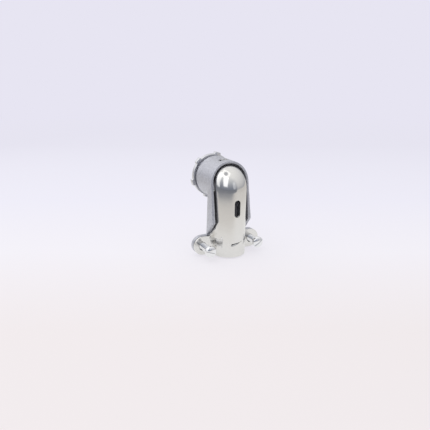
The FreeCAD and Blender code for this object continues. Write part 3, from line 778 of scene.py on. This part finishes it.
shares = [i / SLIT_STEPS for i in range(SLIT_STEPS + 1)]
slit = [slit_edge(share, 1) for share in shares] + [slit_edge(share, -1) for share in reversed(shares)]
cut(cover, prism("sight_punch", obround(0, SIGHT_LOW, SIGHT_HIGH, SIGHT_HALF), FRONT_PUNCH))
for side in (-1, 1):
    cut(cover, prism("ear_punch", obround(side * EAR_X, HOLE_LOW, EAR_Z, HOLE_HALF), EAR_PUNCH))
cut(cover, prism("crimp_lance", slit, FRONT_PUNCH))
print("punched cover", len(cover.data.polygons), "faces")

# %% [markdown]
# The hook tongue is a bent strip that starts under the end of the dome and stands up through the slot of the
# casting. It is drawn as its middle line in a side view and widened to a strip of the sheet's thickness. A
# narrow bevel then breaks all edges of the sheet, because sharp edges catch no light.

# %% Hook tongue
TONGUE_HALF, TONGUE_ROOT, TONGUE_FRONT, TONGUE_TOP = 1.8, 4.0, 6.0, 55.2
TONGUE_BEND, TONGUE_STEPS = 0.8, 8
EDGE_BREAK, EDGE_ANGLE, SHEET_SHARP = 0.12 * MM, math.radians(50), 35


def tongue_line():
    """Middle line as (y, z) points: level under the dome, then a bend, then upright."""
    level = BEND_START + BEND_RADIUS + ROUND - SHEET / 2
    arm = TONGUE_BEND + SHEET / 2
    turns = [math.pi / 2 * i / TONGUE_STEPS for i in range(TONGUE_STEPS + 1)]
    bend = [(TONGUE_FRONT - TONGUE_BEND + arm * math.sin(t), level + arm * (1 - math.cos(t))) for t in turns]
    return [(TONGUE_ROOT, level), *bend, (TONGUE_FRONT + SHEET / 2, TONGUE_TOP)]


line = [Vector(point) for point in tongue_line()]
tongue = bmesh.new()
rings = []
for number, point in enumerate(line):
    along = (line[min(number + 1, len(line) - 1)] - line[max(number - 1, 0)]).normalized()
    across = Vector((-along.y, along.x)) * SHEET / 2
    corners = [(s * TONGUE_HALF, *(point + t * across)) for s, t in SQUARE]
    rings.append([tongue.verts.new(Vector(corner) * MM) for corner in corners])
bridge(tongue, rings)
tongue.from_mesh(cover.data)
cover.data = mesh_from(tongue, "sheet_cover")
modify(cover, "BEVEL", width=EDGE_BREAK, segments=2, limit_method="ANGLE", angle_limit=EDGE_ANGLE)
apply_modifiers(cover)
shade(cover.data, SHEET_SHARP)
stand_for(cover, "clamp_cover", "cover", plated_sheet)

# %% [markdown]
# A clamp screw is turned, so its head and core come from one profile spun about the axis. The slot is cut
# with a boolean, and the thread ridge of the tree above is laid round the core. The left screw stands
# further out than the right one.

# %% Clamp screws
HEAD_RADIUS, HEAD_DEPTH, HEAD_CROWN, HEAD_EDGE = 3.3, 2.5, 1.35, 0.15
SHANK, CORE, CREST, TIP_LENGTH, TIP_STEP = 14.0, 1.75, 2.1, 0.7, 0.5
SCREW_PITCH, SCREW_TURNS, THREAD_GAP = 0.79, 16.6, 0.35
SLOT_REACH, SLOT_HALF, SLOT_ENDS = 4, 0.45, (-1.0, 1.1)
SPIN_STEPS, CROWN_STEPS, SCREW_SHARP = 64, 12, 35


def lathe(name, profile, foot):
    """Spin (radius, distance along y) points about the line along y through the foot."""
    shape = bmesh.new()
    rings = []
    for radius, along in profile:
        turns = [2 * math.pi * i / SPIN_STEPS for i in range(SPIN_STEPS if radius else 1)]
        points = [foot + Vector((radius * math.cos(t), along, radius * math.sin(t))) for t in turns]
        rings.append([shape.verts.new(point * MM) for point in points])
    bridge(shape, rings)
    return add_object(name, mesh_from(shape, name))


def screw_profile():
    """Rounded head, then the core with its tapered tip."""
    turns = [math.pi / 2 * i / CROWN_STEPS for i in range(CROWN_STEPS + 1)]
    crown = [(HEAD_RADIUS * math.sin(t), HEAD_CROWN * (1 - math.cos(t))) for t in turns]
    rim = [(HEAD_RADIUS, HEAD_DEPTH - HEAD_EDGE), (HEAD_RADIUS - HEAD_EDGE, HEAD_DEPTH)]
    tip = HEAD_DEPTH + SHANK
    return crown + rim + [(CORE, HEAD_DEPTH), (CORE, tip - TIP_LENGTH), (CORE - TIP_STEP, tip), (0, tip)]


def clamp_screw(name, x, front, slot_degrees):
    """Slotted screw whose head starts at this front, with its slot turned by an angle."""
    foot = Vector((x, front, EAR_Z))
    piece = lathe(name, screw_profile(), foot)
    slot = prism("driver_slot", [(s * SLOT_REACH, t * SLOT_HALF) for s, t in SQUARE], SLOT_ENDS)
    slot.data.transform(Matrix.Translation(foot * MM) @ Matrix.Rotation(math.radians(slot_degrees), 4, "Y"))
    cut(piece, slot)
    ridge = tree_mesh(ridge_tree, name + "_thread", {
        "Root radius": CORE * MM, "Depth": (CREST - CORE) * MM, "Pitch": SCREW_PITCH * MM,
        "Turns": SCREW_TURNS, "Start": (front + HEAD_DEPTH + THREAD_GAP) * MM, "Across": x * MM,
        "Height": EAR_Z * MM, "Finish": plated_screw,
    })
    shape = bmesh.new()
    for mesh in (piece.data, ridge):
        shape.from_mesh(mesh)
    piece.data = mesh_from(shape, name)
    shade(piece.data, SCREW_SHARP)
    return piece


left_screw = clamp_screw("left_screw_piece", -EAR_X, front=-10.2, slot_degrees=20)
right_screw = clamp_screw("right_screw_piece", EAR_X, front=-8.6, slot_degrees=-35)
stand_for(left_screw, "left_clamp_screw", "left_screw", plated_screw)
stand_for(right_screw, "right_clamp_screw", "right_screw", plated_screw)

# %% [markdown]
# The locknut is stamped: flat faces, six driving lugs and slightly rolled edges. Its CAD shape is right,
# so a merged copy is kept and only its edges are rounded.

# %% Locknut
ROLL, ROLL_ANGLE, NUT_SHARP = 0.22 * MM, math.radians(35), 35
stamped = merged_copy("locknut")
bmesh.ops.dissolve_limit(stamped, angle_limit=math.radians(1), verts=stamped.verts, edges=stamped.edges)
nut = add_object("lugged_locknut", mesh_from(stamped, "lugged_locknut"))
modify(nut, "BEVEL", width=ROLL, segments=3, limit_method="ANGLE", angle_limit=ROLL_ANGLE)
apply_modifiers(nut)
shade(nut.data, NUT_SHARP)
stand_for(nut, "locknut", "locknut", plated_nut)
